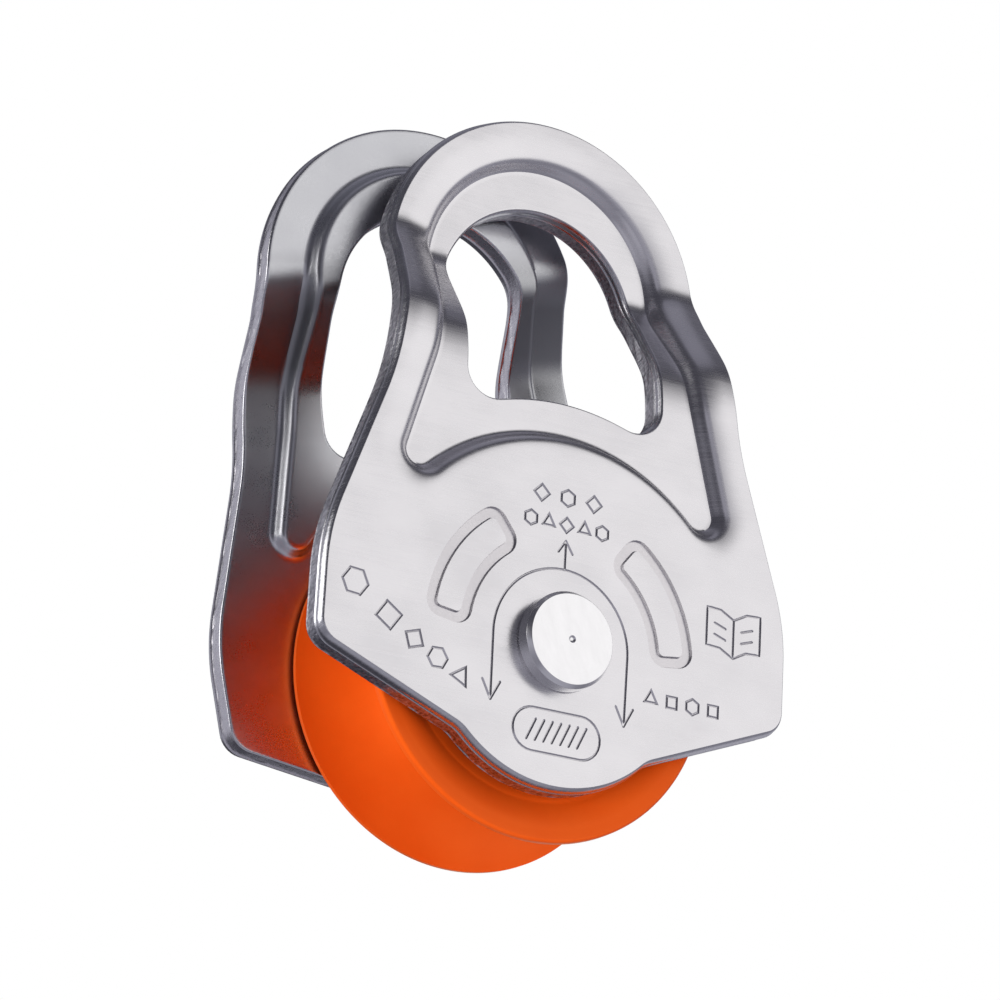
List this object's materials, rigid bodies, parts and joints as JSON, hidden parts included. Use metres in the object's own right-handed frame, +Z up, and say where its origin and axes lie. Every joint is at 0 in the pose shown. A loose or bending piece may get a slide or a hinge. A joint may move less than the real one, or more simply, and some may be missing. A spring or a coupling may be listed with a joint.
{
  "type": "rope pulley",
  "caption": "Compact rope pulley: two swinging joggled aluminium side plates with connector eyes on a headed axle, and a moulded plastic sheave on plain bushes.",
  "frame": {"origin": "bearing point of the front plate's eye, in the middle plane between the two plates; the axle's centre is 53.35 mm straight below it", "axes": "+Z up along the front plate's centre line, from the axle to the eye; Y along the axle with the front plate at -Y; +X to the right seen from the front"},
  "size_m": [0.06, 0.0316, 0.0849],
  "materials": {
    "brushed_aluminium_front": "satin brushed sheet",
    "brushed_aluminium_rear": "satin brushed sheet",
    "orange_nylon": "fine moulded satin",
    "polished_steel_pin": "polished",
    "polished_steel_collar": "polished",
    "ground_steel_sleeve": "ground",
    "bush_liner_front": "sintered bronze",
    "bush_liner_rear": "sintered bronze",
    "acetal_washer_front": "moulded",
    "acetal_washer_rear": "moulded"
  },
  "bodies": {
    "front_plate": {"front_cheek": "brushed_aluminium_front"},
    "axle": {"axle_pin": "polished_steel_pin", "axle_collar": "polished_steel_collar", "axle_sleeve": "ground_steel_sleeve", "front_washer": "acetal_washer_front", "rear_washer": "acetal_washer_rear"},
    "rear_plate": {"rear_cheek": "brushed_aluminium_rear"},
    "wheel": {"sheave": "orange_nylon", "front_bush": "bush_liner_front", "rear_bush": "bush_liner_rear"}
  },
  "joints": [
    {"name": "axle_in_front_plate", "type": "hinge", "parent": "front_plate", "child": "axle", "pos_m": [0, 0, -0.05335], "axis": [0, -1, 0], "continuous": true},
    {"name": "rear_plate_swing", "type": "hinge", "parent": "axle", "child": "rear_plate", "pos_m": [0, 0, -0.05335], "axis": [0, -1, 0], "continuous": true},
    {"name": "sheave_spin", "type": "hinge", "parent": "axle", "child": "wheel", "pos_m": [0, 0, -0.05335], "axis": [0, -1, 0], "continuous": true}
  ]
}
